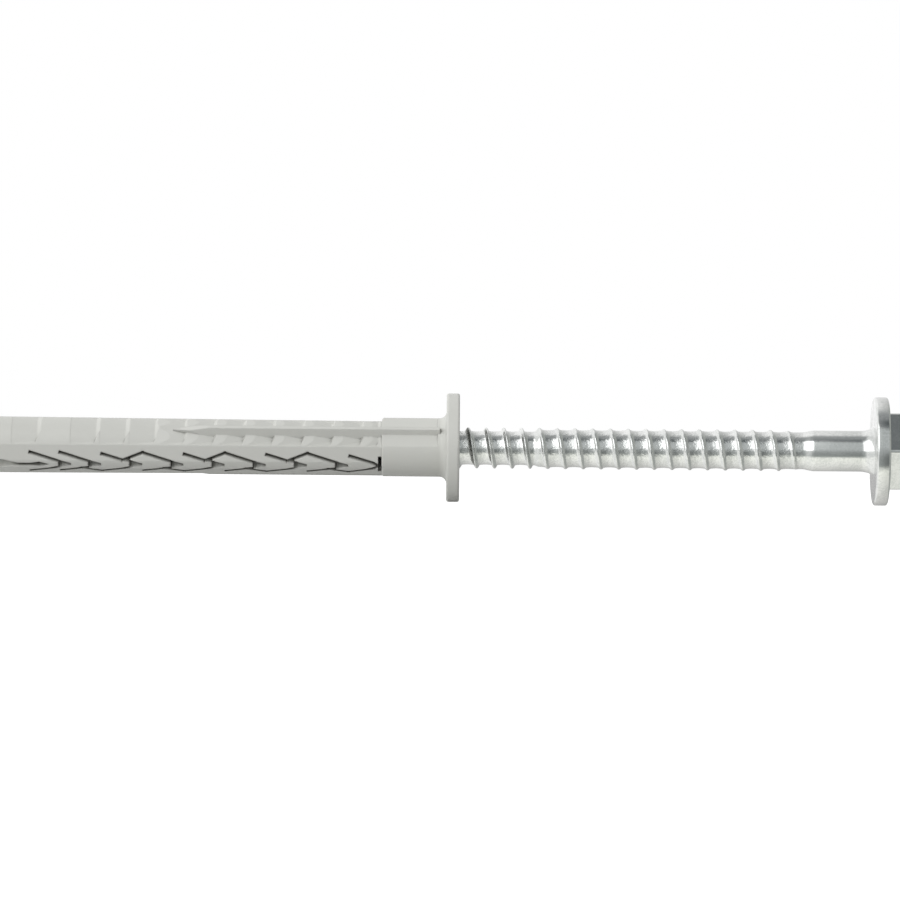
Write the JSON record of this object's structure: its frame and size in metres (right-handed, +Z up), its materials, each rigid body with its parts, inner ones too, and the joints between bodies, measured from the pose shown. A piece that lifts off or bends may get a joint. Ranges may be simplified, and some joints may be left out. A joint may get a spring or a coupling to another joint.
{
  "type": "frame fixing",
  "caption": "Nylon wall plug with wide round flange, zigzag slots, saw teeth and fins, with a started coarse thread screw with flanged hexagon head.",
  "frame": {"origin": "centre of the underside of the plug's flange, which is the face that meets the fixed frame", "axes": "+X along the fixing's axis from the plug's tip towards the screw's head, +Z up with the fixing lying on its two flanges, -Y the side with the slots that the picture shows"},
  "size_m": [0.1608, 0.0184, 0.0185],
  "materials": {
    "nylon": "light grey nylon as moulded, satin",
    "zinc_plated_steel": "bright zinc plating over rolled and headed steel"
  },
  "bodies": {
    "root": {"plug": "nylon", "screw": "zinc_plated_steel"}
  },
  "joints": []
}
